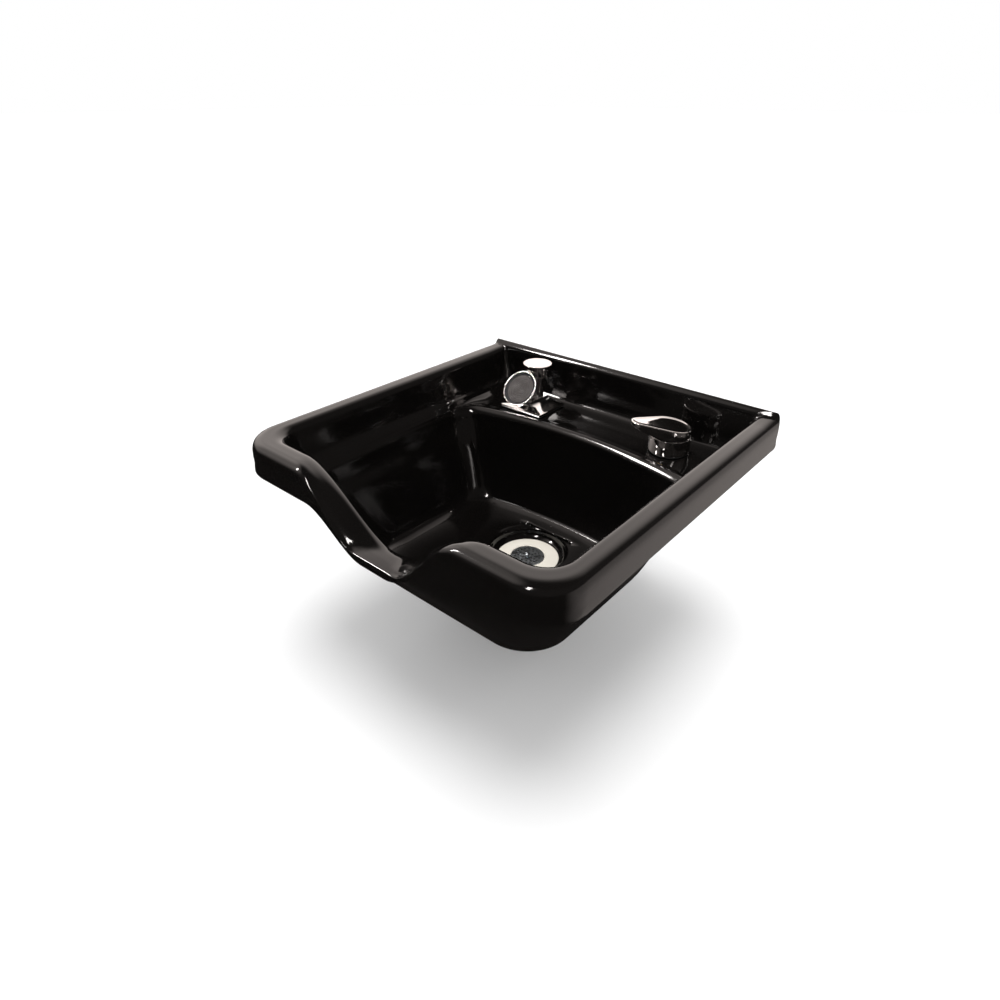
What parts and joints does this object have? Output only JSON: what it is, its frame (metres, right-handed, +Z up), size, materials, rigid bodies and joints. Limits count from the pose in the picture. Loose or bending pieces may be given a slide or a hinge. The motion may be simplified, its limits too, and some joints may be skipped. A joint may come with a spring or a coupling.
{
  "type": "shampoo bowl",
  "caption": "Wall-hung square hair-washing bowl with a neck rest, lever mixer, tilted spray head in its dock with vacuum breaker, and a strainer drain.",
  "frame": {"origin": "centre of the bowl's flat rear face, which stands against the wall, level with the tops of the side rims", "axes": "+X to the user's right when facing the wall, +Y into the wall, +Z up"},
  "size_m": [0.508, 0.508, 0.333],
  "materials": {
    "bowl_gloss": "high gloss, smooth",
    "board": "sealed plywood",
    "bracket_steel": "black powder coat",
    "zinc": "zinc plated",
    "brass": "machined",
    "drain_enamel": "white enamelled",
    "rubber": "moulded",
    "washer_plastic": "natural moulded",
    "strainer_steel": "satin stainless",
    "chrome": "polished chrome plate",
    "stem_steel": "machined",
    "dark_plastic": "moulded",
    "copper": "drawn copper tube",
    "spray_grey": "soft grey rubber"
  },
  "bodies": {
    "unit": {"bowl": "bowl_gloss", "backing_board": "board", "wall_bracket": "bracket_steel", "clamp_bolts": "zinc", "clamp_washers": "zinc", "board_inserts": "brass", "drain_flange": "drain_enamel", "drain_seal": "washer_plastic", "drain_gasket": "rubber", "drain_washer": "washer_plastic", "drain_locknut": "brass", "tailpiece_washer": "washer_plastic", "tailpiece_nut": "chrome", "tailpiece": "chrome", "mixer_gasket": "rubber", "mixer_body": "chrome", "mixer_shank": "brass", "mixer_washer": "zinc", "mixer_locknut": "brass", "cartridge": "washer_plastic", "cartridge_nut": "brass", "hot_tube": "copper", "cold_tube": "copper", "transfer_tube": "copper", "transfer_nuts": "brass", "dock_gasket": "rubber", "dock_plate": "chrome", "dock_shank": "brass", "dock_washer": "zinc", "dock_locknut": "brass", "dock_bush": "dark_plastic", "breaker_body": "chrome", "breaker_seal": "rubber", "breaker_bonnet": "chrome"},
    "mixer_stem": {"cartridge_stem": "stem_steel"},
    "mixer_lever": {"lever": "chrome", "lever_screw": "dark_plastic", "lever_plug": "dark_plastic"},
    "valve_float": {"breaker_float": "washer_plastic"},
    "spray_head": {"spray_shell": "chrome", "spray_ring": "chrome", "spray_bezel": "dark_plastic", "spray_face": "spray_grey", "spray_stem": "chrome"},
    "drain_strainer": {"strainer": "strainer_steel", "strainer_knob": "strainer_steel"}
  },
  "joints": [
    {"name": "temperature_turn", "type": "hinge", "parent": "unit", "child": "mixer_stem", "pos_m": [0.127, -0.063, -0.0395], "axis": [0, 0, 1], "range_deg": [-5, 95]},
    {"name": "lever_lift", "type": "hinge", "parent": "mixer_stem", "child": "mixer_lever", "pos_m": [0.13637, -0.0526, -0.0355], "axis": [-0.7431, 0.6691, 0], "range_deg": [0, 12]},
    {"name": "float_rise", "type": "slide", "parent": "unit", "child": "valve_float", "axis": [0, 0, 1], "range_m": [0, 0.006]},
    {"name": "spray_lift", "type": "slide", "parent": "unit", "child": "spray_head", "axis": [0, -0.4226, 0.9063], "range_m": [0, 0.1]},
    {"name": "strainer_lift", "type": "slide", "parent": "unit", "child": "drain_strainer", "axis": [0, 0, 1], "range_m": [0, 0.03]}
  ]
}
